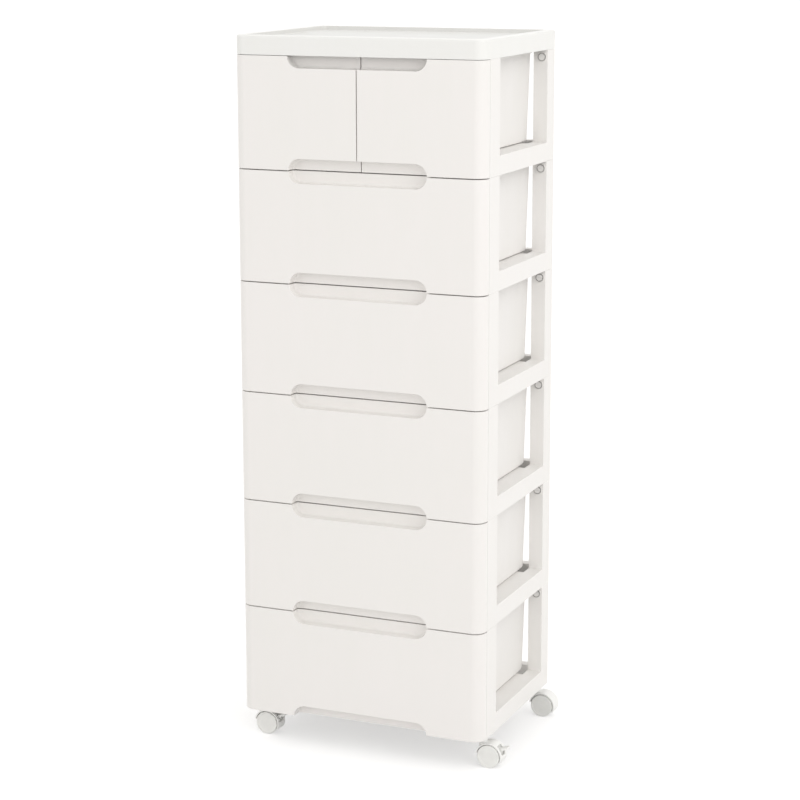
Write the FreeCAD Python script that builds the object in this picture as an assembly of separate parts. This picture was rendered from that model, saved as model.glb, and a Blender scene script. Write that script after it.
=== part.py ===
import FreeCAD, Part
import math
import os
from FreeCAD import Vector

# Plastic drawer tower: stacked tier frames, seven drawers, a tray lid and four swivel casters.
# Millimetres. X to the right, Y to the back, Z up. The origin is on the floor, under the
# middle of the tower's footprint.

# Driving dimensions of the tower
tower_width = 400.0
tower_depth = 306.0
tier_pitch = 170.0
tier_count = 6
lid_height = 29.0
caster_height = 49.0
front_corner_radius = 18.0
rear_corner_radius = 8.0
overrun = 1.0
edge_tolerance = 0.01

# Frames and posts
wall = 2.5
post_thickness = 23.0
front_post_depth = 40.4
rear_post_depth = 38.0
rail_height = 29.0
front_bar_depth = 17.0
front_bar_height = 27.0
rear_bar_depth = 16.0
ledge_depth = 8.0
ledge_half_width = 40.0
runner_width = 17.0
runner_length = 205.0
runner_skirt = 12.0
tip_rib_inset = 4.0
plug_length = 18.0
plug_clearance = 0.3
seam_chamfer = 0.9

# Lock screws in the rear posts
lock_inset = 9.2
lock_drop = 11.0
lock_shank_radius = 3.4
lock_shank_clearance = 0.2
lock_shank_length = 8.0
lock_flange_radius = 7.4
lock_flange_thickness = 2.0
lock_groove_width = 1.6
lock_groove_depth = 1.6
lock_boss_radius = 4.9
lock_boss_thickness = 0.5
lock_slot_length = 6.4
lock_slot_width = 1.1
lock_slot_depth = 0.8

# Drawer fronts
return_depth = 22.0
return_gap = 0.6
seam_gap = 1.5
front_wall = 2.5
front_edge_radius = 0.9
split_edge_radius = 1.2
recess_width = 222.0
recess_height = 18.4
recess_depth = 17.5
recess_corner_radius = 4.0
front_rib_thickness = 2.0
front_rib_bottom = 40.0
front_rib_height = 90.0
front_rib_inset = 45.0
front_rib_offset = 60.0

# Drawer bins
slide_gap = 0.3
bin_wall = 2.2
bin_length = 259.0
bin_draft = 3.5
rim_overhang = 2.0
inner_overhang = 1.0
rim_thickness = 3.0
rim_side_gap = 2.5
rim_top_gap = 2.5
bin_front_radius = 6.0
bin_rear_radius = 16.0
bin_floor_radius = 4.5
edge_round_shares = ((1, 0), (0.3, 0.3), (0, 1))
half_bin_gap = 3.0
drawer_travel = 190.0
stop_clearance = 0.5
stop_width = 30.0
stop_thickness = 3.0
stop_height = 5.0
stop_offset = 60.0

# Centre runner between the two half-width drawers
centre_plate_width = 30.0
centre_plate_thickness = 2.0
centre_web_thickness = 2.5
centre_web_height = 15.0
centre_fin_thickness = 3.0
centre_fin_height = 12.0
centre_fin_length = 200.0
centre_end_gap = 0.3
centre_tongue = 12.0

# Lid
lid_wall = 3.0
lid_rim_width = 12.0
lid_tray_depth = 7.2
lid_edge_radius = 3.5
lid_inner_radius = 2.0
lid_tray_corner_radius = 10.0
lid_rib_thickness = 2.0
lid_rib_height = 10.0
lid_long_ribs = 3
lid_cross_ribs = 2
lid_guide_offset = 7.0
lid_guide_width = 6.0
lid_guide_gap = 20.0

# Casters
stem_inset_x = 13.0
stem_front_inset = 44.0
stem_rear_inset = 20.0
stem_radius = 3.5
stem_fit_clearance = 0.05
stem_insertion = 24.0
stem_flange_radius = 6.5
stem_flange_thickness = 2.0
stem_bead_radius = 3.9
stem_bead_height = 1.0
stem_bead_drop = 14.0
stem_bead_clearance = 0.3
swivel_gap = 0.3
wheel_radius = 18.0
wheel_width = 7.5
wheel_edge_radius = 1.4
wheel_face_recess = 0.6
wheel_face_rim = 3.0
wheel_cap = 1.6
trail = 12.0
web_half_width = 5.0
wheel_side_gap = 0.3
hood_gap = 1.0
hood_wall = 2.0
hood_front_skirt = -1.0
hood_rear_skirt = 7.0
web_skirt = 6.0
boss_radius = 6.5
boss_foot = 30.0
bore_end_gap = 0.2
axle_radius = 2.0
axle_clearance = 0.06

# Brake lever on the front casters
lever_pivot_radius = 15.5
lever_pivot_angle = 40.0
lever_tilt = 16.0
lever_length = 18.3
lever_thickness = 3.2
lever_lug_radius = 2.8
lever_lug_half_width = 2.4
lever_slot_gap = 0.4
lever_paddle_start = 6.5
lever_paddle_half_width = 6.5
lever_shoe_length = 2.6
lever_shoe_drop = 1.2
lever_pin_radius = 1.0
lever_pin_clearance = 0.05
lever_window_gap = 0.8
lever_web_relief = 2.2
lever_window_low = 6.0
lever_window_high = 52.0

# Levels and planes worked out from the sizes above
half_width = tower_width / 2
front_y = -tower_depth / 2
rear_y = tower_depth / 2
base_level = caster_height
lid_level = base_level + tier_count * tier_pitch
side_inner = half_width - post_thickness
post_front = front_y + return_depth + return_gap
post_rear_start = rear_y - rear_post_depth
bar_rear = post_front + front_bar_depth
runner_end = bar_rear + runner_length
rear_bar_front = rear_y - rear_bar_depth
lock_x = half_width - lock_inset
stem_front_y = front_y + stem_front_inset
stem_rear_y = rear_y - stem_rear_inset
bin_floor = rail_height + slide_gap
bin_top = tier_pitch - rim_top_gap
bin_front = front_y + return_depth
axle_level = wheel_radius
hood_radius = wheel_radius + hood_gap + hood_wall
hood_half_length = web_half_width + wheel_side_gap + wheel_width - wheel_face_recess
boss_top = caster_height - stem_flange_thickness - swivel_gap
right_angle = 90.0
half_turn = 180.0
X_AXIS = Vector(1, 0, 0)
Y_AXIS = Vector(0, 1, 0)
Z_AXIS = Vector(0, 0, 1)
CENTRE = Vector(0, 0, 0)


def tier_floor(tier):
    """Level of a tier's underside. Tier 1 is at the top."""
    return base_level + (tier_count - tier) * tier_pitch


def block(x_range, y_range, z_range):
    low = Vector(x_range[0], y_range[0], z_range[0])
    high = Vector(x_range[1], y_range[1], z_range[1])
    size = high - low
    return Part.makeBox(size.x, size.y, size.z, low)


def mirrored(shape):
    return shape.mirror(CENTRE, X_AXIS)


def fused(shapes):
    return shapes[0].multiFuse(shapes[1:]).removeSplitter()


def moved(shape, x, y, z):
    copy = shape.copy()
    copy.translate(Vector(x, y, z))
    return copy


def rounded_wire(x_range, y_range, level, radii):
    """Rectangle with its own radius at each corner: front left, front right, rear right, rear left."""
    x0, x1 = x_range
    y0, y1 = y_range
    corners = [Vector(x0, y0, level), Vector(x1, y0, level), Vector(x1, y1, level), Vector(x0, y1, level)]
    arc_share = 1 - math.sqrt(0.5)
    edges = []
    ends = []
    for i, corner in enumerate(corners):
        toward = (corner - corners[i - 1]).normalize()
        away = (corners[(i + 1) % len(corners)] - corner).normalize()
        start = corner - toward * radii[i]
        end = corner + away * radii[i]
        ends.append((start, end))
        if radii[i] > 0:
            middle = corner + (away - toward) * (radii[i] * arc_share)
            edges.append(Part.Arc(start, middle, end).toShape())
    for i, (start, end) in enumerate(ends):
        following = ends[(i + 1) % len(ends)][0]
        if (following - end).Length > 0:
            edges.append(Part.LineSegment(end, following).toShape())
    return Part.Wire(Part.__sortEdges__(edges))


def rounded_block(x_range, y_range, z_range, radii):
    face = Part.Face(rounded_wire(x_range, y_range, z_range[0], radii))
    return face.extrude(Vector(0, 0, z_range[1] - z_range[0]))


def shrink(value_range, amount):
    return (value_range[0] + amount, value_range[1] - amount)


def rod(radius, start, end):
    return Part.makeCylinder(radius, (end - start).Length, start, end - start)


def edges_at(shape, level):
    """The edges of a shape that lie in the level plane."""
    found = []
    for edge in shape.Edges:
        box = edge.BoundBox
        if abs(box.ZMin - level) < edge_tolerance and abs(box.ZMax - level) < edge_tolerance:
            found.append(edge)
    return found


# Posts, plugs and frames, all at the right-hand side, with their underside at level zero
side_x = (side_inner, half_width)
front_post_y = (post_front, post_front + front_post_depth)
rear_post_y = (post_rear_start, rear_y)
no_radii = (0, 0, 0, 0)
rear_post_radii = (0, 0, rear_corner_radius, 0)


def inset_radii(radii, amount):
    return tuple(radius - amount if radius > 0 else 0 for radius in radii)


def post_section(y_range, radii, inset, z_range):
    return rounded_block(shrink(side_x, inset), shrink(y_range, inset), z_range, inset_radii(radii, inset))


def lock_hole(level):
    radius = lock_shank_radius + lock_shank_clearance
    start = Vector(lock_x, post_rear_start - overrun, level)
    end = Vector(lock_x, post_rear_start + wall + plug_clearance + wall + overrun, level)
    return rod(radius, start, end)


def plug(y_range, radii, block_height):
    """The hollow plug that a frame or the lid pushes into the post below."""
    inset = wall + plug_clearance
    return post_section(y_range, radii, inset, (-plug_length, block_height))


def plug_core(y_range, radii, block_height):
    inset = wall + plug_clearance + wall
    return post_section(y_range, radii, inset, (-plug_length - overrun, block_height - wall))


def frame_side(is_base):
    """Side rail with its two posts, its runner and its plugs."""
    body = rounded_block(side_x, (post_front, rear_y), (0, rail_height), rear_post_radii)
    channel = block(shrink(side_x, wall), (front_post_y[1], rear_post_y[0]), (-overrun, rail_height - wall))
    body = body.cut(channel)
    front_post = post_section(front_post_y, no_radii, 0, (0, tier_pitch))
    rear_post = post_section(rear_post_y, rear_post_radii, 0, (0, tier_pitch))
    rear_post = rear_post.makeChamfer(seam_chamfer, edges_at(rear_post, tier_pitch))
    runner_x = (side_inner - runner_width, side_inner)
    runner_y = (bar_rear, runner_end)
    plate = block(runner_x, runner_y, (rail_height - wall, rail_height))
    skirt = block((runner_x[0], runner_x[0] + wall), runner_y, (rail_height - runner_skirt, rail_height))
    rib_x = side_inner - tip_rib_inset
    tip_rib = block((rib_x - wall, rib_x), runner_y, (0, rail_height))
    parts = [body, front_post, rear_post, plate, skirt, tip_rib]
    if not is_base:
        parts.append(plug(front_post_y, no_radii, rail_height))
        parts.append(plug(rear_post_y, rear_post_radii, rail_height))
    side = fused(parts)
    side = side.cut(post_section(front_post_y, no_radii, wall, (rail_height, tier_pitch + overrun)))
    side = side.cut(post_section(rear_post_y, rear_post_radii, wall, (rail_height, tier_pitch + overrun)))
    side = side.cut(lock_hole(tier_pitch - lock_drop))
    if is_base:
        for y in (stem_front_y, stem_rear_y):
            foot = Vector(half_width - stem_inset_x, y, -overrun)
            top = Vector(foot.x, foot.y, stem_insertion + bore_end_gap)
            side = side.cut(rod(stem_radius + stem_fit_clearance, foot, top))
    else:
        side = side.cut(plug_core(front_post_y, no_radii, rail_height))
        side = side.cut(plug_core(rear_post_y, rear_post_radii, rail_height))
        side = side.cut(lock_hole(-lock_drop))
    return side


def frame_bars():
    """Front and rear crossbars, open underneath, and the ledge for the centre runner."""
    across = (-side_inner, side_inner)
    front_bar = block(across, (post_front, bar_rear), (0, front_bar_height))
    front_channel = block(across, shrink((post_front, bar_rear), wall), (-overrun, front_bar_height - wall))
    rear_bar = block(across, (rear_bar_front, rear_y), (0, rail_height))
    rear_channel = block(across, shrink((rear_bar_front, rear_y), wall), (-overrun, rail_height - wall))
    ledge_z = (front_bar_height - wall, front_bar_height)
    ledge_y = (rear_bar_front - ledge_depth, rear_bar_front)
    ledge = block((-ledge_half_width, ledge_half_width), ledge_y, ledge_z)
    return [front_bar.cut(front_channel), rear_bar.cut(rear_channel), ledge]


def tier_frame(is_base):
    side = frame_side(is_base)
    return fused([side, mirrored(side)] + frame_bars())


def centre_runner():
    """The rail that carries the inner edges of the two half-width drawers."""
    plate_z = (rail_height - centre_plate_thickness, rail_height)
    half_plate = centre_plate_width / 2
    plate_y = (bar_rear - centre_tongue, rear_bar_front - centre_end_gap)
    plate = block((-half_plate, half_plate), plate_y, plate_z)
    half_web = centre_web_thickness / 2
    web_y = (bar_rear + centre_end_gap, rear_bar_front - ledge_depth - centre_end_gap)
    web = block((-half_web, half_web), web_y, (plate_z[0] - centre_web_height, plate_z[0]))
    half_fin = centre_fin_thickness / 2
    fin_z = (rail_height, rail_height + centre_fin_height)
    fin = block((-half_fin, half_fin), (bar_rear, bar_rear + centre_fin_length), fin_z)
    return fused([plate, web, fin])


# Lid
def lid():
    """Tray lid: a raised rim round a sunken top, hollow and ribbed underneath."""
    radii = (front_corner_radius, front_corner_radius, rear_corner_radius, rear_corner_radius)
    lid_x = (-half_width, half_width)
    lid_y = (front_y, rear_y)
    body = rounded_block(lid_x, lid_y, (0, lid_height), radii)
    body = body.makeFillet(lid_edge_radius, edges_at(body, lid_height))
    tray_level = lid_height - lid_tray_depth
    tray_radii = (lid_tray_corner_radius,) * len(radii)
    tray_x = shrink(lid_x, lid_rim_width)
    tray_y = shrink(lid_y, lid_rim_width)
    tray = rounded_block(tray_x, tray_y, (tray_level, lid_height + overrun), tray_radii)
    tray = tray.makeFillet(lid_inner_radius, edges_at(tray, tray_level))
    body = body.cut(tray)
    plate_underside = tray_level - lid_wall
    hollow = rounded_block(shrink(lid_x, lid_wall), shrink(lid_y, lid_wall), (-overrun, plate_underside),
                           inset_radii(radii, lid_wall))
    rim_outer = rounded_block(shrink(lid_x, lid_wall), shrink(lid_y, lid_wall),
                              (-overrun, lid_height - lid_wall), inset_radii(radii, lid_wall))
    rim_inset = lid_rim_width - lid_wall
    rim_inner = block(shrink(lid_x, rim_inset), shrink(lid_y, rim_inset), (-overrun, lid_height))
    body = body.cut(hollow).cut(rim_outer.cut(rim_inner))
    corner_posts = []
    plugs = []
    cores = []
    for y_range, post_radii in ((front_post_y, no_radii), (rear_post_y, rear_post_radii)):
        corner_posts.append(post_section(y_range, post_radii, 0, (0, plate_underside + lid_wall / 2)))
        plugs.append(plug(y_range, post_radii, plate_underside))
        cores.append(plug_core(y_range, post_radii, plate_underside))
    outline = rounded_block(lid_x, lid_y, (-plug_length, lid_height - lid_wall), radii)
    ribs = []
    rib_z = (plate_underside - lid_rib_height, plate_underside)
    inner_x = shrink(lid_x, lid_wall)
    inner_y = shrink(lid_y, lid_wall)
    half_rib = lid_rib_thickness / 2
    for i in range(lid_long_ribs):
        x = inner_x[0] + (inner_x[1] - inner_x[0]) * (i + 1) / (lid_long_ribs + 1)
        ribs.append(block((x - half_rib, x + half_rib), inner_y, rib_z))
    for i in range(lid_cross_ribs):
        y = inner_y[0] + (inner_y[1] - inner_y[0]) * (i + 1) / (lid_cross_ribs + 1)
        ribs.append(block(inner_x, (y - half_rib, y + half_rib), rib_z))
    guide_y = (bar_rear, rear_bar_front - lid_guide_gap)
    for x in (-lid_guide_offset, lid_guide_offset):
        ribs.append(block((x - lid_guide_width / 2, x + lid_guide_width / 2), guide_y, (0, lid_wall)))
        ribs.append(block((x - half_rib, x + half_rib), guide_y, (0, plate_underside)))
    right = [shape.common(outline) for shape in corner_posts] + plugs
    left = [mirrored(shape) for shape in right]
    body = fused([body] + right + left + ribs)
    for core in cores:
        body = body.cut(core).cut(mirrored(core))
    hole = lock_hole(-lock_drop)
    return body.cut(hole).cut(mirrored(hole))


# Drawer fronts
front_z = (seam_gap / 2, tier_pitch - seam_gap / 2)


def recess_prism(grow, depth, at_top):
    """Half of the pill-shaped finger recess, as a prism that runs back from the front face."""
    half = recess_width / 2 + grow
    height = recess_height + grow
    shape = rounded_block((-half, half), (-height, height), (0, depth), (height,) * len(no_radii))
    shape = shape.makeFillet(recess_corner_radius + grow, edges_at(shape, depth))
    shape.rotate(CENTRE, X_AXIS, right_angle)
    shape.rotate(CENTRE, Z_AXIS, half_turn)
    shape.translate(Vector(0, front_y, 0))
    if at_top:
        shape.translate(Vector(0, 0, tier_pitch))
    return shape


def drawer_front(x_range, left_radius, right_radius, rib_places):
    """Front panel: a shell with rounded returns and the finger recess in both long edges."""
    y_range = (front_y, front_y + return_depth)
    radii = (left_radius, right_radius, 0, 0)
    body = rounded_block(x_range, y_range, front_z, radii)
    rim_edges = []
    for level in front_z:
        for edge in edges_at(body, level):
            if edge.BoundBox.YMin < y_range[1] - front_wall / 2:
                rim_edges.append(edge)
    body = body.makeFillet(front_edge_radius, rim_edges)
    inner_radii = tuple(max(radius - front_wall, 0) for radius in radii)
    hollow = rounded_block(shrink(x_range, front_wall), (front_y + front_wall, y_range[1] + overrun),
                           shrink(front_z, front_wall), inner_radii)
    body = body.cut(hollow)
    span = block(x_range, (front_y + front_wall / 2, y_range[1]), front_z)
    parts = [body]
    openings = []
    for at_top in (False, True):
        parts.append(recess_prism(front_wall, recess_depth + front_wall, at_top).common(span))
        opening = recess_prism(0, recess_depth + overrun, at_top)
        openings.append(moved(opening, 0, -overrun, 0))
    for x in rib_places:
        half = front_rib_thickness / 2
        rib_z = (front_rib_bottom, front_rib_bottom + front_rib_height)
        parts.append(block((x - half, x + half), (front_y + front_wall / 2, y_range[1]), rib_z))
    body = fused(parts)
    for opening in openings:
        body = body.cut(opening)
    return body


# Drawer bins
def tub(floor_x, floor_y, top_x, top_y, z_range, radii, floor_radius):
    """Tapered block with rounded corners, its bottom edge rounded off in two bands."""
    sections = []
    for inset_share, rise_share in edge_round_shares:
        inset = floor_radius * inset_share
        level = z_range[0] + floor_radius * rise_share
        sections.append(rounded_wire(shrink(floor_x, inset), shrink(floor_y, inset), level,
                                     inset_radii(radii, inset)))
    sections.append(rounded_wire(top_x, top_y, z_range[1], radii))
    return Part.makeLoft(sections, True, True)


def drawer_bin(x_range, inner_side_sign, stop_places):
    """Open box with tapered walls, a rim round its top and stop tabs under its floor."""
    top_x = [x_range[0] + rim_overhang, x_range[1] - rim_overhang]
    if inner_side_sign > 0:
        top_x[1] = x_range[1] - inner_overhang
    if inner_side_sign < 0:
        top_x[0] = x_range[0] + inner_overhang
    floor_x = (top_x[0] + bin_draft, top_x[1] - bin_draft)
    rear = bin_front + bin_length
    top_y = (bin_front, rear - rim_overhang)
    floor_y = (bin_front, rear - rim_overhang - bin_draft)
    radii = (bin_front_radius, bin_front_radius, bin_rear_radius, bin_rear_radius)
    inner_radii = inset_radii(radii, bin_wall)
    body = tub(floor_x, floor_y, top_x, top_y, (bin_floor, bin_top), radii, bin_floor_radius)
    inner_floor_x = shrink(floor_x, bin_wall)
    inner_floor_y = shrink(floor_y, bin_wall)
    inner_top_x = shrink(top_x, bin_wall)
    inner_top_y = shrink(top_y, bin_wall)
    hollow = tub(inner_floor_x, inner_floor_y, inner_top_x, inner_top_y,
                 (bin_floor + bin_wall, bin_top), inner_radii, bin_floor_radius - bin_wall)
    rim = rounded_block(x_range, (bin_front, rear), (bin_top - rim_thickness, bin_top), radii)
    stop_y = bar_rear + drawer_travel + stop_clearance
    stops = []
    for x in stop_places:
        half = stop_width / 2
        stop_z = (bin_floor - stop_height, bin_floor + bin_wall / 2)
        stops.append(block((x - half, x + half), (stop_y, stop_y + stop_thickness), stop_z))
    return fused([body, rim] + stops).cut(hollow)


# Lock screws
def lock_screw():
    """Flanged screw at the right rear post, with its head facing the front of the tower."""
    face = Vector(lock_x, post_rear_start, -lock_drop)
    flange_face = face - Y_AXIS * lock_flange_thickness
    boss_face = flange_face - Y_AXIS * lock_boss_thickness
    flange = rod(lock_flange_radius, flange_face, face)
    groove_floor = flange_face + Y_AXIS * lock_groove_depth
    groove = rod(lock_boss_radius + lock_groove_width, flange_face, groove_floor)
    groove = groove.cut(rod(lock_boss_radius, flange_face, groove_floor))
    boss = rod(lock_boss_radius, boss_face, flange_face)
    shank = rod(lock_shank_radius, face, face + Y_AXIS * lock_shank_length)
    half_slot = lock_slot_width / 2
    half_length = lock_slot_length / 2
    slot = block((face.x - half_length, face.x + half_length),
                 (boss_face.y - overrun, boss_face.y + lock_slot_depth),
                 (face.z - half_slot, face.z + half_slot))
    return fused([flange, boss, shank]).cut(groove).cut(slot)


# Casters, built with the stem on the Z axis, the axle along Y and the wheels trailing towards +X


def axle_rod(radius, y_range):
    start = Vector(trail, y_range[0], axle_level)
    end = Vector(trail, y_range[1], axle_level)
    return rod(radius, start, end)


def polar(radius, angle):
    """A point at an angle above the +X direction, seen from the axle."""
    turn = math.radians(angle)
    return Vector(trail + radius * math.cos(turn), 0, axle_level + radius * math.sin(turn))


lever_pivot = polar(lever_pivot_radius, lever_pivot_angle)


def lever_window():
    """Where the brake lever passes through the hood: a slot in the web and a window in the shell."""
    half = lever_lug_half_width + lever_slot_gap
    reach = hood_radius + overrun
    slot = block((lever_pivot.x - lever_lug_radius - lever_slot_gap, trail + reach), (-half, half),
                 (lever_pivot.z - 2 * lever_lug_radius, lever_pivot.z + lever_lug_radius + lever_slot_gap))
    half = lever_paddle_half_width + lever_window_gap
    core_radius = wheel_radius + hood_gap - lever_web_relief
    ring = axle_rod(reach, (-half, half)).cut(axle_rod(core_radius, (-half, half)))
    corners = [polar(0, 0), polar(2 * reach, lever_window_low), polar(2 * reach, lever_window_high)]
    outline = [Vector(point.x, -half, point.z) for point in corners]
    wedge = Part.Face(Part.makePolygon(outline + outline[:1])).extrude(Vector(0, 2 * half, 0))
    return slot.fuse(ring.common(wedge))


def caster_hood(has_brake):
    """Half-round hood over the wheels, with the web that carries the axle and the stem boss."""
    shell = axle_rod(hood_radius, (-hood_half_length, hood_half_length))
    far = 2 * hood_radius
    skirt = [Vector(trail - far, -far, axle_level - hood_front_skirt + hood_radius / 2),
             Vector(trail, -far, axle_level - (hood_front_skirt + hood_rear_skirt) / 2),
             Vector(trail + far, -far, axle_level - hood_rear_skirt - hood_radius / 2),
             Vector(trail + far, -far, -far), Vector(trail - far, -far, -far)]
    below = Part.Face(Part.makePolygon(skirt + skirt[:1])).extrude(Vector(0, 2 * far, 0))
    shell = shell.cut(below)
    web_radius = wheel_radius + hood_gap
    web = axle_rod(web_radius, (-web_half_width, web_half_width))
    web = web.common(block((-far, far), (-far, far), (axle_level - web_skirt, far)))
    chambers = []
    for side in (-1, 1):
        y_range = sorted((side * web_half_width, side * (hood_half_length + overrun)))
        chambers.append(axle_rod(web_radius, y_range))
    boss = rod(boss_radius, Vector(0, 0, boss_foot), Vector(0, 0, boss_top))
    body = fused([shell, web, boss])
    for chamber in chambers:
        body = body.cut(chamber)
    bore_foot = Vector(0, 0, boss_foot + bore_end_gap)
    body = body.cut(rod(stem_radius + stem_fit_clearance, bore_foot, Vector(0, 0, caster_height)))
    bead = stem_bead_levels()
    groove = rod(stem_bead_radius + stem_bead_clearance, Vector(0, 0, bead[0] - stem_bead_clearance),
                 Vector(0, 0, bead[1] + stem_bead_clearance))
    body = body.cut(groove).cut(axle_rod(axle_radius, (-web_half_width, web_half_width)))
    if has_brake:
        body = body.cut(lever_window())
        start = Vector(lever_pivot.x, -web_half_width, lever_pivot.z)
        body = body.fuse(rod(lever_pin_radius, start, start + Y_AXIS * (2 * web_half_width)))
    return body.removeSplitter()


def stem_bead_levels():
    low = caster_height - stem_bead_drop
    return (low, low + stem_bead_height)


def caster_stem():
    """Steel stem: its top sits in the base frame, and the hood turns on its lower end."""
    foot = Vector(0, 0, boss_foot + 2 * bore_end_gap)
    shaft = rod(stem_radius, foot, Vector(0, 0, caster_height + stem_insertion))
    flange = rod(stem_flange_radius, Vector(0, 0, caster_height - stem_flange_thickness),
                 Vector(0, 0, caster_height))
    bead = stem_bead_levels()
    ring = rod(stem_bead_radius, Vector(0, 0, bead[0]), Vector(0, 0, bead[1]))
    return fused([shaft, flange, ring])


def caster_wheel(side):
    """One of the two wheels. Side -1 faces the front of the tower, side 1 the back."""
    inner = web_half_width + wheel_side_gap
    outer = inner + wheel_width
    y_range = sorted((side * inner, side * outer))
    body = axle_rod(wheel_radius, y_range)
    rims = [edge for edge in body.Edges if isinstance(edge.Curve, Part.Circle)]
    body = body.makeFillet(wheel_edge_radius, rims)
    dish_y = sorted((side * (outer - wheel_face_recess), side * (outer + overrun)))
    body = body.cut(axle_rod(wheel_radius - wheel_face_rim, dish_y))
    bore_y = sorted((side * (inner - overrun), side * (outer - wheel_cap)))
    return body.cut(axle_rod(axle_radius + axle_clearance, bore_y))


def caster_axle():
    half = web_half_width + wheel_side_gap + wheel_width - wheel_cap - bore_end_gap
    return axle_rod(axle_radius, (-half, half))


def brake_lever():
    """Foot lever behind a front caster's wheels: a lug on the pivot pin, a paddle and a shoe."""
    along = (0, lever_length)
    half_thickness = lever_thickness / 2
    lug = block(along, (-lever_lug_half_width, lever_lug_half_width), (-half_thickness, half_thickness))
    eye = rod(lever_lug_radius, Vector(0, -lever_lug_half_width, 0), Vector(0, lever_lug_half_width, 0))
    half = lever_paddle_half_width
    paddle = block((lever_paddle_start, lever_length), (-half, half), (-half_thickness, half_thickness))
    tip_edges = []
    for edge in paddle.Edges:
        box = edge.BoundBox
        if box.XMin > lever_length - half_thickness and box.XMax - box.XMin < half_thickness:
            tip_edges.append(edge)
    paddle = paddle.makeFillet(half_thickness / 2, tip_edges)
    shoe = block((lever_paddle_start, lever_paddle_start + lever_shoe_length), (-half, half),
                 (-half_thickness - lever_shoe_drop, 0))
    body = fused([lug, eye, paddle, shoe])
    reach = lever_lug_half_width + overrun
    pin_hole = rod(lever_pin_radius + lever_pin_clearance, Vector(0, -reach, 0), Vector(0, reach, 0))
    body = body.cut(pin_hole)
    body.rotate(CENTRE, Y_AXIS, -lever_tilt)
    body.translate(lever_pivot)
    return body


# Where each caster stands, which way its wheels trail, and whether it has a brake
caster_places = {
    "front_left": (-1, stem_front_y, 0, True),
    "front_right": (1, stem_front_y, 0, True),
    "rear_left": (-1, stem_rear_y, half_turn, False),
    "rear_right": (1, stem_rear_y, 0, False),
}


def at_caster(shape, place):
    side, y, turn, has_brake = place
    copy = shape.copy()
    copy.rotate(CENTRE, Z_AXIS, turn)
    copy.translate(Vector(side * (half_width - stem_inset_x), y, 0))
    return copy


def build():
    nodes = {}
    nodes["lid"] = moved(lid(), 0, 0, lid_level)
    plain_frame = tier_frame(False)
    for tier in range(1, tier_count):
        nodes["tier_frame_%d" % tier] = moved(plain_frame, 0, 0, tier_floor(tier))
    nodes["base_frame"] = moved(tier_frame(True), 0, 0, tier_floor(tier_count))
    nodes["centre_runner"] = moved(centre_runner(), 0, 0, tier_floor(1))

    rib_x = half_width - front_rib_inset
    full_front = drawer_front((-half_width, half_width), front_corner_radius, front_corner_radius,
                              (-rib_x, -front_rib_offset, front_rib_offset, rib_x))
    rim_reach = side_inner - rim_side_gap
    full_bin = drawer_bin((-rim_reach, rim_reach), 0, (-stop_offset, stop_offset))
    for tier in range(2, tier_count + 1):
        nodes["drawer_front_%d" % tier] = moved(full_front, 0, 0, tier_floor(tier))
        nodes["drawer_bin_%d" % tier] = moved(full_bin, 0, 0, tier_floor(tier))
    right_front = drawer_front((seam_gap / 2, half_width), split_edge_radius, front_corner_radius,
                               (front_rib_offset, rib_x))
    left_front = drawer_front((-half_width, -seam_gap / 2), front_corner_radius, split_edge_radius,
                              (-rib_x, -front_rib_offset))
    half_middle = (half_bin_gap + rim_reach) / 2
    right_bin = drawer_bin((half_bin_gap, rim_reach), -1, (half_middle,))
    left_bin = drawer_bin((-rim_reach, -half_bin_gap), 1, (-half_middle,))
    nodes["drawer_front_1_left"] = moved(left_front, 0, 0, tier_floor(1))
    nodes["drawer_front_1_right"] = moved(right_front, 0, 0, tier_floor(1))
    nodes["drawer_bin_1_left"] = moved(left_bin, 0, 0, tier_floor(1))
    nodes["drawer_bin_1_right"] = moved(right_bin, 0, 0, tier_floor(1))

    screw = lock_screw()
    screws = []
    for tier in range(tier_count):
        level = base_level + (tier + 1) * tier_pitch
        screws.append(moved(screw, 0, 0, level))
        screws.append(moved(mirrored(screw), 0, 0, level))
    nodes["lock_screws"] = Part.makeCompound(screws)

    stem = caster_stem()
    nodes["caster_stems"] = Part.makeCompound([at_caster(stem, place) for place in caster_places.values()])
    for name, place in caster_places.items():
        has_brake = place[-1]
        nodes["caster_hood_" + name] = at_caster(caster_hood(has_brake), place)
        nodes["caster_axle_" + name] = at_caster(caster_axle(), place)
        nodes["wheel_a_" + name] = at_caster(caster_wheel(-1), place)
        nodes["wheel_b_" + name] = at_caster(caster_wheel(1), place)
        if has_brake:
            nodes["brake_lever_" + name] = at_caster(brake_lever(), place)
    return nodes


os.makedirs("parts", exist_ok=True)
for node, shape in build().items():
    box = shape.BoundBox
    print("%-28s solids %2d valid %s volume %10.0f  x %7.1f %7.1f  y %7.1f %7.1f  z %7.1f %7.1f" % (
        node, len(shape.Solids), shape.isValid(), shape.Volume,
        box.XMin, box.XMax, box.YMin, box.YMax, box.ZMin, box.ZMax))
    shape.exportStep("parts/%s.step" % node)
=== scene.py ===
import math

import bmesh
import bpy
from mathutils import Matrix, Vector
from mathutils.bvhtree import BVHTree


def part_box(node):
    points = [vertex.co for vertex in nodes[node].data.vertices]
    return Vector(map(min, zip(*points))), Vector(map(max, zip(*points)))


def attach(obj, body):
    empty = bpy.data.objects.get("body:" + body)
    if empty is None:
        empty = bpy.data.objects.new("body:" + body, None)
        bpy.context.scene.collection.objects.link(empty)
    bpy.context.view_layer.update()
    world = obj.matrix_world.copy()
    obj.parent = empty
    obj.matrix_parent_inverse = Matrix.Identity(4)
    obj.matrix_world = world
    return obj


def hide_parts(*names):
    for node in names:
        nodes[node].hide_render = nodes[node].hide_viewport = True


# A tower of plastic drawers: white moulded frames, satin drawer fronts, a tray lid and twin-wheel
# casters. Everything is in metres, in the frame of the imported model.

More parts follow.
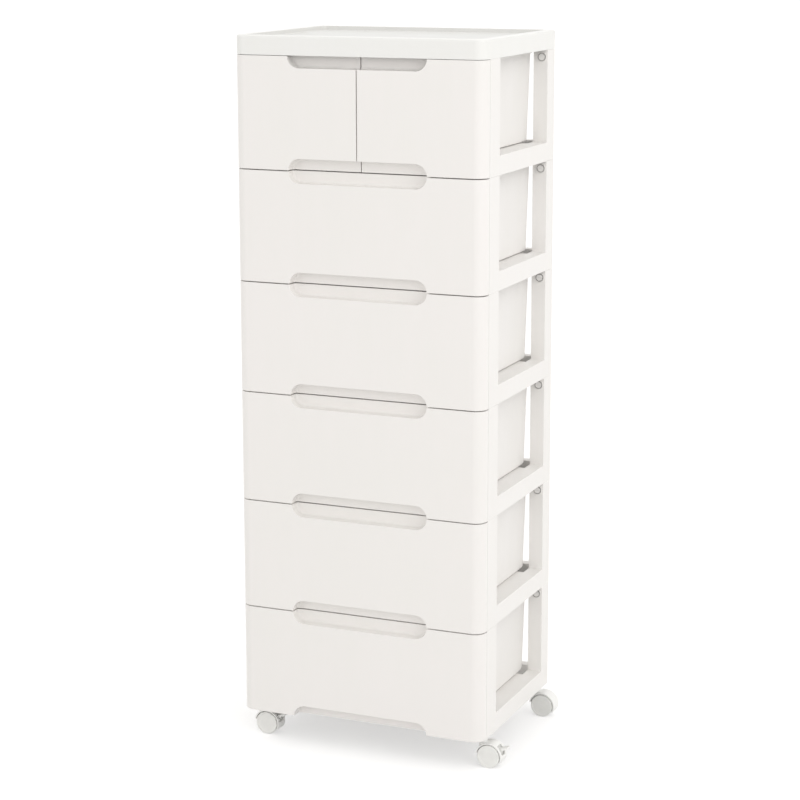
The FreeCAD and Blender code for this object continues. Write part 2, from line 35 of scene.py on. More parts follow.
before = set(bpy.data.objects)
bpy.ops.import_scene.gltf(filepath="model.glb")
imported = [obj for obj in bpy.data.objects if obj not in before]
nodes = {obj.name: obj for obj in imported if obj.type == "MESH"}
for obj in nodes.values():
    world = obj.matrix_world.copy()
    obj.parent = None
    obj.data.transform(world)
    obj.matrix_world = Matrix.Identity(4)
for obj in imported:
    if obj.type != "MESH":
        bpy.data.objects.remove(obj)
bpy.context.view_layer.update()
MM = 0.001

# Sizes of the mouldings that their boxes don't give
TIERS = 6
LID_HEIGHT = 29 * MM
TRAY_DEPTH = 7.2 * MM
POST_THICKNESS = 23 * MM
RAIL_HEIGHT = 29 * MM
RAIL_START = -90 * MM
RAIL_END = 115 * MM
FRONT_BAR_DEPTH = 17 * MM
FRONT_BAR_HEIGHT = 27 * MM
REAR_BAR_DEPTH = 16 * MM
WALL = 2.5 * MM

# Places read from the frame
base_low, base_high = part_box("base_frame")
HALF_WIDTH = base_high.x
LID_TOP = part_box("lid")[1].z
LID_SEAM = LID_TOP - LID_HEIGHT
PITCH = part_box("drawer_front_2")[0].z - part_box("drawer_front_3")[0].z

# The photograph's viewpoint, found from the tower's edges and seams in it. Angles are in degrees.
CAMERA_PLACE = Vector((1.3350, -3.1290, 1.2706))
CAMERA_YAW = 23.503
CAMERA_PITCH = 11.085
CAMERA_ROLL = 0.181
CAMERA_LENS = 100.71
CAMERA_SENSOR = 36.0
CAMERA_REACH = 100.0
CAMERA_SHIFT_X = 0.0218
CAMERA_SHIFT_Y = -0.058

# Studio light: strong from the sides, weaker from above, slightly warm, with one large lamp. The side
# light turns into the top light between two heights of the direction that it comes from.
SIDE_LIGHT = 1.31
TOP_LIGHT = 0.75
SIDE_LIGHT_END = 0.1
TOP_LIGHT_START = 0.9
LIGHT_TINT = (1.0, 0.988, 0.970, 1.0)
WHITE = (1.0, 1.0, 1.0, 1.0)
KEY_PLACE = Vector((2.6, -1.6, 2.4))
KEY_AIM = Vector((0.0, 0.0, 0.6))
KEY_SIZE = 2.2
KEY_POWER = 22

# Floor: how far it reaches, how pale its paint is, and the glow that makes it show white
FLOOR_REACH = 30.0
FLOOR_PALENESS = 0.76
FLOOR_GLOW = 0.42

# How far the edges of each kind of moulding are rounded
LID_ROUND = 0.5 * MM
FRAME_ROUND = 0.55 * MM
FRONT_ROUND = 0.6 * MM
BIN_ROUND = 0.4 * MM
HOOD_ROUND = 0.35 * MM
WHEEL_ROUND = 0.25 * MM
SCREW_ROUND = 0.18 * MM

# How the rounding is made: what counts as one point, as flat, as sharp and as smooth, and how far
# a new corner may lie off the surface, as a share of the rounding
WELD = 0.004 * MM
FLAT_ANGLE = math.radians(0.6)
SHARP_ANGLE = math.radians(32)
SMOOTH_ANGLE = math.radians(28)
ROUND_STEPS = 2
ROUND_PROFILE = 0.5
STRAY_SHARE = 0.6
NORMAL_WEIGHT = 60

# Brake levers: the remesh that melts their edges
LEVER_VOXEL = 0.2 * MM
LEVER_SMOOTHING = 6

# Stiffening ribs inside the hollow rails and crossbars, thinner towards their free edge
RIB_THICKNESS = 1.6 * MM
RIB_DRAFT = 0.3
RAIL_RIB_HEIGHT = 21.0 * MM
BAR_RIB_HEIGHT = 19.0 * MM
RAIL_RIBS = 8
BAR_RIBS = 9

# Lock screws: how far their slots are turned at most, in radians, and the draw of those turns
SLOT_TURN = 0.9
SLOT_SEED = 7

# Where painted shade and a painted highlight lie, and how strongly: painted shade on the inner wall of
# the tray's rim, a painted highlight on the band along its top, painted shade in the ring groove in a
# screw's head; and the tread of a wheel, which gets dirt. A face counts as wall or as top by how far
# its normal points upwards.
TRAY_WALL_SHADE = 0.35
RIM_BAND = 0.8 * MM
WALL_MOST_UPWARD = 0.7
TOP_LEAST_UPWARD = 0.5
GROOVE_SHADE = 0.7
GROOVE_START = 4.7 * MM
GROOVE_END = 6.7 * MM
GROOVE_STEP = 0.3 * MM
TREAD_RIM = 0.75 * MM

# Noise patterns, each by its scale on places in metres, its detail and its roughness
DRIFT = (3.1, 3.0, 0.5)
STREAKS = (38.0, 4.0, 0.6)
SMUDGES = (21.0, 5.0, 0.62)
PEBBLE = (900.0, 2.0, 0.6)
SPECKS = (420.0, 3.0, 0.7)
STEEL_LINES = (1800.0, 3.0, 0.6)
STEEL_MOTTLE = (160.0, 4.0, 0.6)
WHEEL_SCUFFS = (260.0, 4.0, 0.65)
WHEEL_PATCHES = (60.0, 3.0, 0.5)
WHEEL_PEBBLE = (1500.0, 2.0, 0.5)

# How much the streaks and the drawn lines are stretched, and how deep each relief is
STREAK_STRETCH = 0.16
DRAWN_STRETCH = 0.08
PLASTIC_RELIEF = 0.12 * MM
STEEL_RELIEF = 0.05 * MM
WHEEL_RELIEF = 0.08 * MM

# How much paler plastic gets at its worn edges and under its painted edge highlight, and how much more
# where the painted highlight runs evenly along the edges
EDGE_PALER = 1.05
HIGHLIGHT_PALER = 0.06


def linear(red, green, blue):
    """A colour as it is seen on a screen, 0 to 255, turned into light."""
    out = []
    for part in (red, green, blue):
        share = part / 255
        out.append(share / 12.92 if share <= 0.04045 else ((share + 0.055) / 1.055) ** 2.4)
    return (*out, 1.0)


# Painted shade for the screws' grooves and the tray's wall, what lies on the plastics, the two tones
# of the steel, and the tones of the wheels
PAINTED_SHADE = linear(178, 177, 174)
DUST = linear(214, 212, 206)
DIRT = linear(176, 172, 162)
STEEL_DULL = linear(176, 178, 180)
STEEL_BRIGHT = linear(206, 206, 204)
WHEEL_SHADE = linear(236, 236, 233)
WHEEL_COLOUR = linear(242, 242, 239)
WHEEL_GRIME = linear(172, 169, 163)
WHEEL_WORN = linear(247, 246, 243)


class Value:
    """A socket that takes part in sums, so that node maths reads as ordinary expressions."""

    def __init__(self, graph, socket):
        self.graph = graph
        self.socket = socket

    def combine(self, operation, first, second):
        return self.graph.add("ShaderNodeMath", {"operation": operation}, {0: first, 1: second})

    def __add__(self, other):
        return self.combine("ADD", self, other)

    def __radd__(self, other):
        return self.combine("ADD", other, self)

    def __sub__(self, other):
        return self.combine("SUBTRACT", self, other)

    def __rsub__(self, other):
        return self.combine("SUBTRACT", other, self)

    def __mul__(self, other):
        return self.combine("MULTIPLY", self, other)

    def __rmul__(self, other):
        return self.combine("MULTIPLY", other, self)

    def __truediv__(self, other):
        return self.combine("DIVIDE", self, other)

    def __rtruediv__(self, other):
        return self.combine("DIVIDE", other, self)

    def most(self, other):
        return self.combine("MAXIMUM", self, other)

    def eased(self, low, high):
        """0 below low, 1 above high, with a smooth step between."""
        settings = {"interpolation_type": "SMOOTHSTEP"}
        ends = {"Value": self, "From Min": low, "From Max": high, "To Min": 0.0, "To Max": 1.0}
        return self.graph.add("ShaderNodeMapRange", settings, ends)


class Graph:
    """A node tree with one method that adds any node, and short names for nodes used often."""

    def __init__(self, tree):
        self.tree = tree
        tree.nodes.clear()

    def add(self, kind, settings=None, inputs=None, output=0):
        node = self.tree.nodes.new(kind)
        for name, value in (settings or {}).items():
            setattr(node, name, value)
        for name, value in (inputs or {}).items():
            socket = node.inputs[name]
            if isinstance(value, Value):
                self.tree.links.new(value.socket, socket)
            else:
                socket.default_value = value
        return Value(self, node.outputs[output]) if node.outputs else None

    def place(self):
        """Where a point lies on the object, in metres."""
        return self.add("ShaderNodeTexCoord", None, None, "Object")

    def noise(self, place, scale, detail, roughness):
        inputs = {"Vector": place, "Scale": scale, "Detail": detail, "Roughness": roughness}
        return self.add("ShaderNodeTexNoise", None, inputs)

    def scaled(self, place, scale):
        return self.add("ShaderNodeMapping", None, {"Vector": place, "Scale": scale})

    def marked(self, name):
        """The strength of a mark that the mesh carries, such as edge, painted shade or tread."""
        return self.add("ShaderNodeAttribute", {"attribute_name": name}, None, "Fac")

    def upward(self, vector):
        """The Z part of a vector."""
        return self.add("ShaderNodeSeparateXYZ", None, {"Vector": vector}, "Z")

    def vectors(self, operation, first, second, socket=1):
        """Two vectors combined, or a vector and a number that goes into the named socket."""
        return self.add("ShaderNodeVectorMath", {"operation": operation}, {0: first, socket: second})

    def mix(self, factor, first, second):
        """Two colours mixed."""
        settings = {"data_type": "RGBA", "clamp_factor": True}
        return self.add("ShaderNodeMix", settings, {0: factor, 6: first, 7: second}, 2)

    def shader(self, base, rough, height, grain, depth, metallic=0.0):
        """A colour with a roughness and a fine relief."""
        relief = self.add("ShaderNodeBump", None, {"Strength": grain, "Distance": depth, "Height": height})
        sockets = {"Base Color": base, "Roughness": rough, "Normal": relief, "Metallic": metallic}
        return self.add("ShaderNodeBsdfPrincipled", None, sockets)


def finish_of(name, surface):
    """A material whose tree is drawn by surface(graph), which returns the shader."""
    material = bpy.data.materials.new(name)
    material.use_nodes = True
    graph = Graph(material.node_tree)
    graph.add("ShaderNodeOutputMaterial", None, {"Surface": surface(graph)})
    return material


def moulded_plastic(name, colour, shade, roughness, grain, flow=1.0, dust=0.35, even_highlight=0.0):
    """Injection-moulded plastic that drifts between two tones given as seen on a screen.

    flow is how much the streaks of the melt show, dust how much of it lies on upward faces, and
    even_highlight how evenly its edges are paled: 0 in smudges of wear, 1 all along, as a painted
    highlight.
    """
    clean = linear(*colour)
    lift = EDGE_PALER + HIGHLIGHT_PALER * even_highlight
    pale = (*(min(1.0, part * lift) for part in clean[:3]), 1.0)

    def surface(graph):
        place = graph.place()
        drift = graph.noise(place, *DRIFT)
        streaks = graph.noise(graph.scaled(place, (1.0, 1.0, STREAK_STRETCH)), *STREAKS)
        smudges = graph.noise(place, *SMUDGES)
        pebble = graph.noise(place, *PEBBLE)
        specks = graph.noise(place, *SPECKS)
        normal = graph.add("ShaderNodeNewGeometry", None, None, "Normal")

        # Colour: two drifting tones, pale edges (patchy wear, and a painted highlight on the lid), painted
        # shade in the marked grooves and on the tray's wall, dust and specks of dirt
        tone = 0.62 * drift + 0.38 * streaks * flow
        base = graph.mix(tone.eased(0.32, 0.68), linear(*shade), clean)
        # Pale edges: wear in smudges, and on the lid an even painted highlight along its edges and the
        # rim's top.
        pale_edges = graph.marked("edge") * (even_highlight + (1 - even_highlight) * smudges.eased(0.42, 0.62))
        base = graph.mix(pale_edges * (0.6 + 0.4 * even_highlight), base, pale)
        # Painted shade where the mesh is marked: the screws' ring grooves and the tray's inner wall.
        base = graph.mix(graph.marked("painted_shade") * (0.9 + 0.2 * smudges), base, PAINTED_SHADE)
        settled = graph.upward(normal).eased(0.7, 1.0) * smudges.eased(0.35, 0.75) * dust
        base = graph.mix(settled * 0.3, base, DUST)
        dirty = specks.eased(0.72, 0.80) * smudges.eased(0.5, 0.7)
        base = graph.mix(dirty * 0.12, base, DIRT)

        # Sheen and grain: dust dulls, wear polishes
        rough = roughness + 0.10 * (smudges - 0.5) + 0.05 * (pebble - 0.5)
        rough = rough + settled * 0.18 - pale_edges * 0.08
        height = 0.7 * pebble + 0.3 * specks + 0.2 * streaks * flow
        return graph.shader(base, rough, height, grain, PLASTIC_RELIEF)

    return finish_of(name, surface)


def plated_steel(name, along):
    """Zinc-plated steel, drawn along one axis, with a dulled, mottled plating."""

    def surface(graph):
        place = graph.place()
        stretch = tuple(DRAWN_STRETCH if axis == along else 1.0 for axis in "XYZ")
        lines = graph.noise(graph.scaled(place, stretch), *STEEL_LINES)
        mottle = graph.noise(place, *STEEL_MOTTLE)
        base = graph.mix(mottle.eased(0.35, 0.7), STEEL_DULL, STEEL_BRIGHT)
        rough = 0.26 + 0.16 * mottle + 0.08 * lines
        return graph.shader(base, rough, lines, 0.3, STEEL_RELIEF, metallic=1.0)

    return finish_of(name, surface)


def wheel_plastic(name):
    """Light grey nylon wheel: faint patches, pale worn edges, scuffs and dirt on the tread."""

    def surface(graph):
        place = graph.place()
        scuffs = graph.noise(place, *WHEEL_SCUFFS)
        patches = graph.noise(place, *WHEEL_PATCHES)
        pebble = graph.noise(place, *WHEEL_PEBBLE)
        base = graph.mix(patches.eased(0.3, 0.7), WHEEL_SHADE, WHEEL_COLOUR)
        grime = graph.marked("tread") * scuffs.eased(0.42, 0.7)
        base = graph.mix(grime * 0.45, base, WHEEL_GRIME)
        pale_edges = graph.marked("edge") * scuffs.eased(0.4, 0.6)
        base = graph.mix(pale_edges * 0.5, base, WHEEL_WORN)
        rough = 0.42 + 0.15 * (scuffs - 0.5) + 0.15 * grime
        height = 0.6 * pebble + 0.4 * scuffs
        return graph.shader(base, rough, height, 0.25, WHEEL_RELIEF)

    return finish_of(name, surface)


# Each plastic has its two tones, its roughness and the strength of its grain
FINISH = {
    "front": moulded_plastic("satin_front", (241, 238, 236), (239, 237, 234), 0.36, 0.10),
    "frame": moulded_plastic("frame_plastic", (241, 239, 237), (239, 237, 234), 0.42, 0.16),
    "bin": moulded_plastic("bin_plastic", (238, 236, 234), (235, 233, 230), 0.40, 0.14),
    # The lid's edges and the top of its rim get an even painted highlight.
    "lid": moulded_plastic("lid_plastic", (239, 239, 237), (237, 237, 234), 0.38, 0.12,
                           dust=0.2, even_highlight=1.0),
    "screw": moulded_plastic("screw_plastic", (241, 239, 237), (238, 236, 234), 0.36, 0.12, flow=0.0),
    "caster": moulded_plastic("caster_plastic", (246, 246, 245), (243, 243, 241), 0.34, 0.12, flow=0.0),
    "wheel": wheel_plastic("wheel_nylon"),
    "stem_steel": plated_steel("stem_steel", "Z"),
    "axle_steel": plated_steel("axle_steel", "Y"),
}


# Camera, lights and floor

def make_camera():
    """The camera at the photograph's viewpoint."""
    data = bpy.data.cameras.new("camera")
    data.lens = CAMERA_LENS
    data.sensor_width = CAMERA_SENSOR
    data.shift_x = CAMERA_SHIFT_X
    data.shift_y = CAMERA_SHIFT_Y
    data.clip_end = CAMERA_REACH
    camera = bpy.data.objects.new("camera", data)
    turn = Matrix.Rotation(math.radians(CAMERA_YAW), 4, "Z")
    turn = turn @ Matrix.Rotation(math.radians(90 - CAMERA_PITCH), 4, "X")
    turn = turn @ Matrix.Rotation(math.radians(-CAMERA_ROLL), 4, "Z")
    camera.matrix_world = Matrix.Translation(CAMERA_PLACE) @ turn
    bpy.context.scene.collection.objects.link(camera)
    bpy.context.scene.camera = camera


def make_key_light():
    """A large soft lamp in front of the tower and to its right, turned towards it."""
    data = bpy.data.lights.new("key", "AREA")
    data.shape = "SQUARE"
    data.size = KEY_SIZE
    data.energy = KEY_POWER
    lamp = bpy.data.objects.new("key", data)
    lamp.location = KEY_PLACE
    lamp.rotation_mode = "QUATERNION"
    lamp.rotation_quaternion = (KEY_AIM - KEY_PLACE).to_track_quat("-Z", "Y")
    bpy.context.scene.collection.objects.link(lamp)


def seen_directly(graph):
    """1 for what the camera sees, also in gloss and through clear things, and 0 for light on the object."""
    camera_ray = graph.add("ShaderNodeLightPath", None, None, "Is Camera Ray")
    glossy_ray = graph.add("ShaderNodeLightPath", None, None, "Is Glossy Ray")
    clear_ray = graph.add("ShaderNodeLightPath", None, None, "Is Transmission Ray")
    return camera_ray.most(glossy_ray).most(clear_ray)


def make_world():
    """White behind the object, and an even studio light on it that is weaker overhead."""
    world = bpy.data.worlds.new("studio")
    world.use_nodes = True
    graph = Graph(world.node_tree)
    height = graph.upward(graph.add("ShaderNodeTexCoord", None, None, "Generated"))
    overhead = height.eased(SIDE_LIGHT_END, TOP_LIGHT_START)
    light = SIDE_LIGHT + (TOP_LIGHT - SIDE_LIGHT) * overhead
    seen = seen_directly(graph)
    strength = seen + (1.0 - seen) * light
    colour = graph.mix(seen, LIGHT_TINT, WHITE)
    background = graph.add("ShaderNodeBackground", None, {"Color": colour, "Strength": strength})
    graph.add("ShaderNodeOutputWorld", None, {"Surface": background})
    bpy.context.scene.world = world


def make_floor():
    """A pale floor that shows white and keeps the object's shadow."""

    def surface(graph):
        paint = (FLOOR_PALENESS, FLOOR_PALENESS, FLOOR_PALENESS, 1.0)
        matt = graph.add("ShaderNodeBsdfDiffuse", None, {"Color": paint})
        lift = graph.add("ShaderNodeEmission", None, {"Strength": seen_directly(graph) * FLOOR_GLOW})
        return graph.add("ShaderNodeAddShader", None, {0: matt, 1: lift})

    mesh = bpy.data.meshes.new("floor")
    corners = [(x * FLOOR_REACH, y * FLOOR_REACH, 0) for x, y in ((-1, -1), (1, -1), (1, 1), (-1, 1))]
    mesh.from_pydata(corners, [], [(0, 1, 2, 3)])
    mesh.materials.append(finish_of("floor_paint", surface))
    link("floor", mesh)


# Meshes

def link(name, mesh):
    """An object of this name and mesh in the scene, at the origin."""
    piece = bpy.data.objects.new(name, mesh)
    bpy.context.scene.collection.objects.link(piece)
    return piece


def dress(piece, body, slot, finish, *replaced):
    """Gives a finished piece its material, hangs it on its body's empty and hides the nodes that it
    replaces.
    """
    piece.data.materials.clear()
    piece.data.materials.append(FINISH[finish])
    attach(piece, body)
    if replaced:
        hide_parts(*replaced)


def dress_node(node, finish):
    """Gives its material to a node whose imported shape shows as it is."""
    nodes[node].data.materials.clear()
    nodes[node].data.materials.append(FINISH[finish])


def split_wide_faces(shape):
    """Splits every face with more than four corners into triangles."""
    bmesh.ops.triangulate(shape, faces=[face for face in shape.faces if len(face.verts) > 4])


def welded(node):
    """A joined-up copy of a node's loose triangles, in as few faces as its flat areas need.

    The flat areas are split before any rounding, because one with a hole in it, such as the rim
    of a bin, could be split across the hole once its edges are rounded.
    """
    shape = bmesh.new()
    shape.from_mesh(nodes[node].data)
    bmesh.ops.remove_doubles(shape, verts=shape.verts, dist=WELD)
    bmesh.ops.dissolve_degenerate(shape, dist=WELD, edges=shape.edges)
    bmesh.ops.dissolve_limit(shape, angle_limit=FLAT_ANGLE, verts=shape.verts, edges=shape.edges)
    split_wide_faces(shape)
    return shape


def is_sharp(edge):
    return len(edge.link_faces) == 2 and edge.calc_face_angle(0) > SHARP_ANGLE


def soften(shape, width):
    """Rounds every sharp edge as a mould does, and marks the rounded faces in the edge attribute.

    Where narrow faces meet, the rounding can throw a corner off the surface. Such a corner is put
    back on the nearest point of the shape as it was.
    """
    surface = BVHTree.FromBMesh(shape)
    sharp = [edge for edge in shape.edges if is_sharp(edge)]
    made = bmesh.ops.bevel(shape, geom=sharp, offset=width, offset_type="OFFSET", segments=ROUND_STEPS,
                           profile=ROUND_PROFILE, affect="EDGES", clamp_overlap=False)
    layer = shape.loops.layers.float.new("edge")
    for face in made["faces"]:
        for corner in face.loops:
            corner[layer] = 1.0
    for vertex in shape.verts:
        nearest, _, _, distance = surface.find_nearest(vertex.co)
        if distance > STRAY_SHARE * width:
            vertex.co = nearest


def smooth_mesh(name, shape):
    """A mesh from an edited shape, smooth over round stretches and flat on flat ones."""
    mesh = bpy.data.meshes.new(name)
    split_wide_faces(shape)
    shape.to_mesh(mesh)
    shape.free()
    mesh.shade_smooth()
    mesh.set_sharp_from_angle(angle=SMOOTH_ANGLE)
    return mesh


def settle(piece):
    """Turns a piece's modifiers into plain mesh."""
    evaluated = piece.evaluated_get(bpy.context.evaluated_depsgraph_get())
    mesh = bpy.data.meshes.new_from_object(evaluated)
    piece.modifiers.clear()
    old = piece.data
    piece.data = mesh
    bpy.data.meshes.remove(old)


def weighted(piece):
    """Bakes area-weighted normals into the piece, so that flat faces stay flat beside rounded ones."""
    normals = piece.modifiers.new("normals", "WEIGHTED_NORMAL")
    normals.keep_sharp = True
    normals.weight = NORMAL_WEIGHT
    settle(piece)


def moulding(name, node, width):
    """A welded copy of a node with softened edges."""
    shape = welded(node)
    soften(shape, width)
    piece = link(name, smooth_mesh(name, shape))
    weighted(piece)
    return piece


def melted(name, node):
    """An even, slightly melted copy of a brake lever."""
    piece = link(name, smooth_mesh(name, welded(node)))
    grid = piece.modifiers.new("grid", "REMESH")
    grid.mode = "VOXEL"
    grid.voxel_size = LEVER_VOXEL
    grid.use_smooth_shade = True
    melt = piece.modifiers.new("melt", "SMOOTH")
    melt.iterations = LEVER_SMOOTHING
    settle(piece)
    return piece


def mark(piece, name, value, chosen):
    """Sets an attribute on the faces that chosen picks by their middle and normal."""
    mesh = piece.data
    layer = mesh.attributes.get(name) or mesh.attributes.new(name, "FLOAT", "CORNER")
    for face in mesh.polygons:
        if chosen(face.center, face.normal):
            for corner in face.loop_indices:
                layer.data[corner].value = value


def mark_tread(piece, axle):
    """Marks the part of a wheel that rolls on the floor in the tread attribute."""
    mesh = piece.data
    reach = [math.hypot(vertex.co.x - axle.x, vertex.co.z - axle.z) for vertex in mesh.vertices]
    rim = max(reach) - TREAD_RIM
    layer = mesh.attributes.new("tread", "FLOAT", "POINT")
    layer.data.foreach_set("value", [1.0 if distance > rim else 0.0 for distance in reach])


def copy_below(piece, name, tiers):
    """A copy of a piece, this many tiers further down."""
    mesh = piece.data.copy()
    mesh.transform(Matrix.Translation((0, 0, -tiers * PITCH)))
    return link(name, mesh)


# Pieces that repeat, laid out by small geometry trees

def repeat_tree(name, inputs, layout):
    """A geometry tree with named inputs; layout(graph, inputs) returns what it makes."""
    tree = bpy.data.node_groups.new(name, "GeometryNodeTree")
    for label, kind in inputs.items():
        tree.interface.new_socket(label, in_out="INPUT", socket_type="NodeSocket" + kind)
    tree.interface.new_socket("Geometry", in_out="OUTPUT", socket_type="NodeSocketGeometry")
    graph = Graph(tree)
    given = {label: graph.add("NodeGroupInput", None, None, label) for label in inputs}
    solid = graph.add("GeometryNodeRealizeInstances", None, {"Geometry": layout(graph, given)})
    coloured = graph.add("GeometryNodeSetMaterial", None, {"Geometry": solid, "Material": given["Finish"]})
    graph.add("NodeGroupOutput", None, {"Geometry": coloured})
    return tree


def grown(name, tree, values):
    """A plain mesh piece made by a geometry tree with these values."""
    piece = link(name, bpy.data.meshes.new(name))
    modifier = piece.modifiers.new("layout", "NODES")
    modifier.node_group = tree
    for item in tree.interface.items_tree:
        if item.in_out == "INPUT":
            modifier[item.identifier] = values[item.name]
    settle(piece)
    return piece


def line_of(graph, count, start, step):
    """Points in a row."""
    inputs = {"Count": count, "Start Location": start, "Offset": step}
    return graph.add("GeometryNodeMeshLine", {"mode": "OFFSET"}, inputs)


def tiers_of(graph, given):
    """A point on every tier, from the top one down."""
    return line_of(graph, given["Tiers"], (0.0, 0.0, 0.0), given["Drop"])


def copies(graph, points, instance, rotation=(0.0, 0.0, 0.0)):
    """The instance at each of the points."""
    inputs = {"Points": points, "Instance": instance, "Rotation": rotation}
    return graph.add("GeometryNodeInstanceOnPoints", None, inputs)


def rib_layout(graph, given):
    """A row of ribs, repeated down the tiers; each narrows downwards along the axis in Across."""
    block = graph.add("GeometryNodeMeshCube", None, {"Size": given["Size"]})
    place = graph.add("GeometryNodeInputPosition")
    height = graph.upward(place) / graph.upward(given["Size"])
    narrow = 1.0 + given["Draft"] * (height - 0.5)
    lean = graph.vectors("SCALE", given["Across"], narrow, "Scale")
    rest = graph.vectors("SUBTRACT", (1.0, 1.0, 1.0), given["Across"])
    tapered = graph.vectors("MULTIPLY", place, graph.vectors("ADD", lean, rest))
    rib = graph.add("GeometryNodeSetPosition", None, {"Geometry": block, "Position": tapered})
    row = copies(graph, line_of(graph, given["Count"], given["Start"], given["Step"]), rib)
    return copies(graph, tiers_of(graph, given), row)


def screw_layout(graph, given):
    """Two columns of screws, each screw turned by chance about its own axis."""
    pair = line_of(graph, 2, given["First"], given["Across"])
    pairs = copies(graph, tiers_of(graph, given), pair)
    grid = graph.add("GeometryNodeRealizeInstances", None, {"Geometry": pairs})
    screw = graph.add("GeometryNodeObjectInfo", None, {"Object": given["Screw"]}, "Geometry")
    limits = {0: (0.0, -SLOT_TURN, 0.0), 1: (0.0, SLOT_TURN, 0.0), "Seed": given["Seed"]}
    turn = graph.add("FunctionNodeRandomValue", {"data_type": "FLOAT_VECTOR"}, limits)
    return copies(graph, grid, screw, turn)


def make_ribs():
    """Cross ribs inside the hollow rails and crossbars of every frame."""
    inputs = {"Count": "Int", "Start": "Vector", "Step": "Vector", "Size": "Vector", "Across": "Vector",
              "Draft": "Float", "Tiers": "Int", "Drop": "Vector", "Finish": "Material"}
    tree = repeat_tree("rib_rows", inputs, rib_layout)
    shared = {"Draft": RIB_DRAFT, "Tiers": TIERS, "Drop": (0.0, 0.0, -PITCH), "Finish": FINISH["frame"]}

    def make_row(name, count, start, step, size, across):
        own = {"Count": count, "Start": start, "Step": step, "Size": size, "Across": across}
        dress(grown(name, tree, {**shared, **own}), "tower", "frame_plastic", "frame")

    foot = LID_SEAM - PITCH
    rail_roof = foot + RAIL_HEIGHT - WALL
    step = (RAIL_END - RAIL_START) / (RAIL_RIBS + 1)
    size = (POST_THICKNESS - 2 * WALL, RIB_THICKNESS, RAIL_RIB_HEIGHT)
    for name, side in (("left", -1), ("right", 1)):
        middle = side * (HALF_WIDTH - POST_THICKNESS / 2)
        start = (middle, RAIL_START + step, rail_roof - RAIL_RIB_HEIGHT / 2)
        make_row("rail_ribs_" + name, RAIL_RIBS, start, (0.0, step, 0.0), size, (0.0, 1.0, 0.0))

    bar_length = 2 * (HALF_WIDTH - POST_THICKNESS)
    bar_roof = foot + FRONT_BAR_HEIGHT - WALL
    step = bar_length / (BAR_RIBS + 1)
    bars = (("front", base_low.y, base_low.y + FRONT_BAR_DEPTH, bar_roof),
            ("rear", base_high.y - REAR_BAR_DEPTH, base_high.y, rail_roof))
    for name, low, high, roof in bars:
        size = (RIB_THICKNESS, high - low - 2 * WALL, BAR_RIB_HEIGHT)
        start = (step - bar_length / 2, (low + high) / 2, roof - BAR_RIB_HEIGHT / 2)
        make_row("bar_ribs_" + name, BAR_RIBS, start, (step, 0.0, 0.0), size, (1.0, 0.0, 0.0))


def softened_screw():
    """The top right lock screw with its axis through the origin, and where that axis was."""
    low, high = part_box("lock_screws")
    shape = welded("lock_screws")
    top_tier = high.z - PITCH / 2
    other = [vertex for vertex in shape.verts if vertex.co.x < 0 or vertex.co.z < top_tier]
    bmesh.ops.delete(shape, geom=other, context="VERTS")
    heights = [vertex.co.z for vertex in shape.verts]
    head_radius = (max(heights) - min(heights)) / 2
    axis = Vector((high.x - head_radius, 0.0, high.z - head_radius))
    soften(shape, SCREW_ROUND)
    screw = link("screw", smooth_mesh("screw", shape))
    screw.data.transform(Matrix.Translation(-axis))
    weighted(screw)

    def in_groove(middle, normal):
        ring = GROOVE_START < math.hypot(middle.x, middle.z) < GROOVE_END
        return ring and middle.y > low.y + GROOVE_STEP

    # Painted shade in the ring groove of the head.
    mark(screw, "painted_shade", GROOVE_SHADE, in_groove)
    return screw, axis


def make_screws():
    """One lock screw, repeated at both rear posts of every tier."""
    screw, axis = softened_screw()
    inputs = {"Screw": "Object", "First": "Vector", "Across": "Vector", "Tiers": "Int", "Drop": "Vector",
              "Seed": "Int", "Finish": "Material"}
    tree = repeat_tree("screw_columns", inputs, screw_layout)
    values = {"Screw": screw, "First": tuple(axis), "Across": (-2 * axis.x, 0.0, 0.0), "Tiers": TIERS,
              "Drop": (0.0, 0.0, -PITCH), "Seed": SLOT_SEED, "Finish": FINISH["screw"]}
    dress(grown("post_screws", tree, values), "tower", "screw_plastic", "screw", "lock_screws")
    bpy.data.objects.remove(screw)


# The tower's mouldings: those that are alike on every tier are made once and copied down

def make_lid():
    """The tray lid, with a painted highlight along the top of its rim and painted shade on the rim's inner
    wall.
    """
    tray = LID_TOP - TRAY_DEPTH
    rim = LID_TOP - RIM_BAND

    def rim_wall(middle, normal):
        inward = normal.x * middle.x + normal.y * middle.y < 0
        return tray < middle.z < rim and abs(normal.z) < WALL_MOST_UPWARD and inward

    def rim_top(middle, normal):
        return middle.z > rim and normal.z > TOP_LEAST_UPWARD

    lid = moulding("lid_moulding", "lid", LID_ROUND)
    # Painted shade on the rim's inner wall.
    mark(lid, "painted_shade", TRAY_WALL_SHADE, rim_wall)
    # A painted highlight along the top of the rim.
    mark(lid, "edge", 1.0, rim_top)
    dress(lid, "tower", "front_plastic", "lid", "lid")


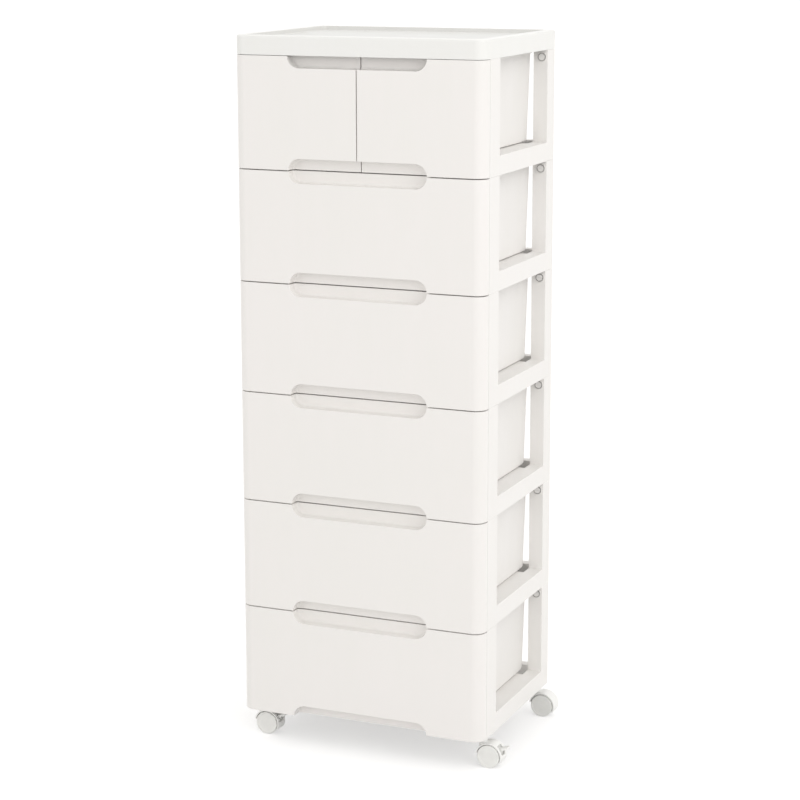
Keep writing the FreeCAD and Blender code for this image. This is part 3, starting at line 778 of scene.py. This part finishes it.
def make_frames():
    """The tier frames and the base frame."""
    top = moulding("frame_moulding_1", "tier_frame_1", FRAME_ROUND)
    for tier in range(2, TIERS):
        lower = copy_below(top, "frame_moulding_%d" % tier, tier - 1)
        dress(lower, "tower", "frame_plastic", "frame", "tier_frame_%d" % tier)
    dress(top, "tower", "frame_plastic", "frame", "tier_frame_1")
    base = moulding("base_moulding", "base_frame", FRAME_ROUND)
    dress(base, "tower", "frame_plastic", "frame", "base_frame")


def make_drawers(kind, width):
    """The fronts or the bins: full-width ones on the tiers below the top, and two half-width ones."""
    slot = kind + "_plastic"
    first = moulding("%s_panel_2" % kind, "drawer_%s_2" % kind, width)
    for tier in range(3, TIERS + 1):
        lower = copy_below(first, "%s_panel_%d" % (kind, tier), tier - 2)
        dress(lower, "drawer_%d" % tier, slot, kind, "drawer_%s_%d" % (kind, tier))
    dress(first, "drawer_2", slot, kind, "drawer_%s_2" % kind)
    for side in ("left", "right"):
        node = "drawer_%s_1_%s" % (kind, side)
        half = moulding("%s_panel_1_%s" % (kind, side), node, width)
        dress(half, "drawer_1_%s" % side, slot, kind, node)


def make_wheel(side, corner):
    """One wheel of a twin pair, with its rolling rim marked."""
    node = "wheel_%s_%s" % (side, corner)
    low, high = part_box(node)
    wheel = moulding("tyre_%s_%s" % (side, corner), node, WHEEL_ROUND)
    mark_tread(wheel, (low + high) / 2)
    dress(wheel, node, "wheel_plastic", "wheel", node)


def make_casters():
    """Hoods, twin wheels and axles at four corners, with brake levers at the two in front."""
    for corner in ("front_left", "front_right", "rear_left", "rear_right"):
        hood = moulding("hood_" + corner, "caster_hood_" + corner, HOOD_ROUND)
        dress(hood, "caster_" + corner, "caster_plastic", "caster", "caster_hood_" + corner)
        make_wheel("a", corner)
        make_wheel("b", corner)
        if corner.startswith("front"):
            node = "brake_lever_" + corner
            dress(melted("lever_" + corner, node), node, "caster_plastic", "caster", node)
        dress_node("caster_axle_" + corner, "axle_steel")


bpy.context.scene.view_settings.view_transform = "Standard"
make_camera()
make_world()
make_floor()
make_key_light()
make_lid()
make_frames()
make_drawers("front", FRONT_ROUND)
make_drawers("bin", BIN_ROUND)
make_ribs()
make_screws()
make_casters()
dress_node("centre_runner", "frame")
dress_node("caster_stems", "stem_steel")
